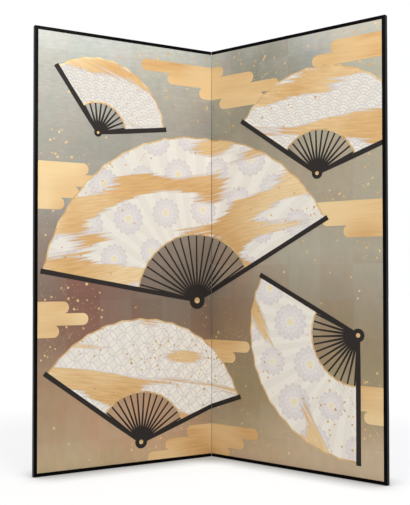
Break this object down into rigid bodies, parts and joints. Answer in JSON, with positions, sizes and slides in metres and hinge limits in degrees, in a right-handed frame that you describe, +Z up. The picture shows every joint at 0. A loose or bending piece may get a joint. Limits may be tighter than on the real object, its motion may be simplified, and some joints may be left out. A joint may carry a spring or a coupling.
{
  "type": "folding screen",
  "caption": "Folding screen of panels in black lacquered frames, with silver-leafed picture sheets, joined by paper hinges that let it stand in a V and fold flat.",
  "frame": {"origin": "on the floor, at the middle of the bounding box of the screen standing in a V", "axes": "+Z up, -Y towards the viewer of the painted faces, +X to the right of that viewer; the fold stands at the back over X = 0"},
  "size_m": [1.3298, 0.4416, 1.72],
  "materials": {
    "black_lacquer": "satin",
    "silver_leaf_paper": "satin",
    "back_paper": "matte",
    "underlay_paper": "matte",
    "hinge_paper": "matte",
    "core_softwood": "matte",
    "bamboo": "matte"
  },
  "bodies": {
    "left_panel": {"left_back_hinge_flaps": "hinge_paper", "left_back_paper": "back_paper", "left_back_underlay": "underlay_paper", "left_core_bottom_rail": "core_softwood", "left_core_fold_stile": "core_softwood", "left_core_outer_stile": "core_softwood", "left_core_top_rail": "core_softwood", "left_fold_edge_paper": "hinge_paper", "left_frame_bottom_rail": "black_lacquer", "left_frame_outer_stile": "black_lacquer", "left_frame_pins": "bamboo", "left_frame_top_rail": "black_lacquer", "left_front_hinge_flaps": "hinge_paper", "left_front_underlay": "underlay_paper", "left_lattice_crossbar_1": "core_softwood", "left_lattice_crossbar_2": "core_softwood", "left_lattice_crossbar_3": "core_softwood", "left_lattice_crossbar_4": "core_softwood", "left_lattice_crossbar_5": "core_softwood", "left_lattice_crossbar_6": "core_softwood", "left_lattice_crossbar_7": "core_softwood", "left_lattice_crossbar_8": "core_softwood", "left_lattice_crossbar_9": "core_softwood", "left_lattice_upright_1": "core_softwood", "left_lattice_upright_2": "core_softwood", "left_lattice_upright_3": "core_softwood", "left_lattice_upright_4": "core_softwood", "left_picture_sheet": "silver_leaf_paper"},
    "hinge_strips_a": {"hinge_strips_a": "hinge_paper"},
    "right_panel": {"right_back_hinge_flaps": "hinge_paper", "right_back_paper": "back_paper", "right_back_underlay": "underlay_paper", "right_core_bottom_rail": "core_softwood", "right_core_fold_stile": "core_softwood", "right_core_outer_stile": "core_softwood", "right_core_top_rail": "core_softwood", "right_fold_edge_paper": "hinge_paper", "right_frame_bottom_rail": "black_lacquer", "right_frame_outer_stile": "black_lacquer", "right_frame_pins": "bamboo", "right_frame_top_rail": "black_lacquer", "right_front_hinge_flaps": "hinge_paper", "right_front_underlay": "underlay_paper", "right_lattice_crossbar_1": "core_softwood", "right_lattice_crossbar_2": "core_softwood", "right_lattice_crossbar_3": "core_softwood", "right_lattice_crossbar_4": "core_softwood", "right_lattice_crossbar_5": "core_softwood", "right_lattice_crossbar_6": "core_softwood", "right_lattice_crossbar_7": "core_softwood", "right_lattice_crossbar_8": "core_softwood", "right_lattice_crossbar_9": "core_softwood", "right_lattice_upright_1": "core_softwood", "right_lattice_upright_2": "core_softwood", "right_lattice_upright_3": "core_softwood", "right_lattice_upright_4": "core_softwood", "right_picture_sheet": "silver_leaf_paper"},
    "hinge_strips_b": {"hinge_strips_b": "hinge_paper"}
  },
  "joints": [
    {"name": "fold_forward", "type": "hinge", "parent": "left_panel", "child": "hinge_strips_a", "pos_m": [0, 0.2035, 0], "axis": [0, 0, 1], "range_deg": [-114, 66]},
    {"name": "fold_back", "type": "hinge", "parent": "hinge_strips_a", "child": "right_panel", "pos_m": [0.01117, 0.22069, 0], "axis": [0, 0, 1], "range_deg": [0, 180]},
    {"name": "strips_b_turn", "type": "hinge", "parent": "left_panel", "child": "hinge_strips_b", "pos_m": [-0.01117, 0.22069, 0], "axis": [0, 0, 1], "range_deg": [0, 180]}
  ],
  "couplings": [
    {"joint": "strips_b_turn", "follows": "fold_back", "ratio": 1}
  ]
}
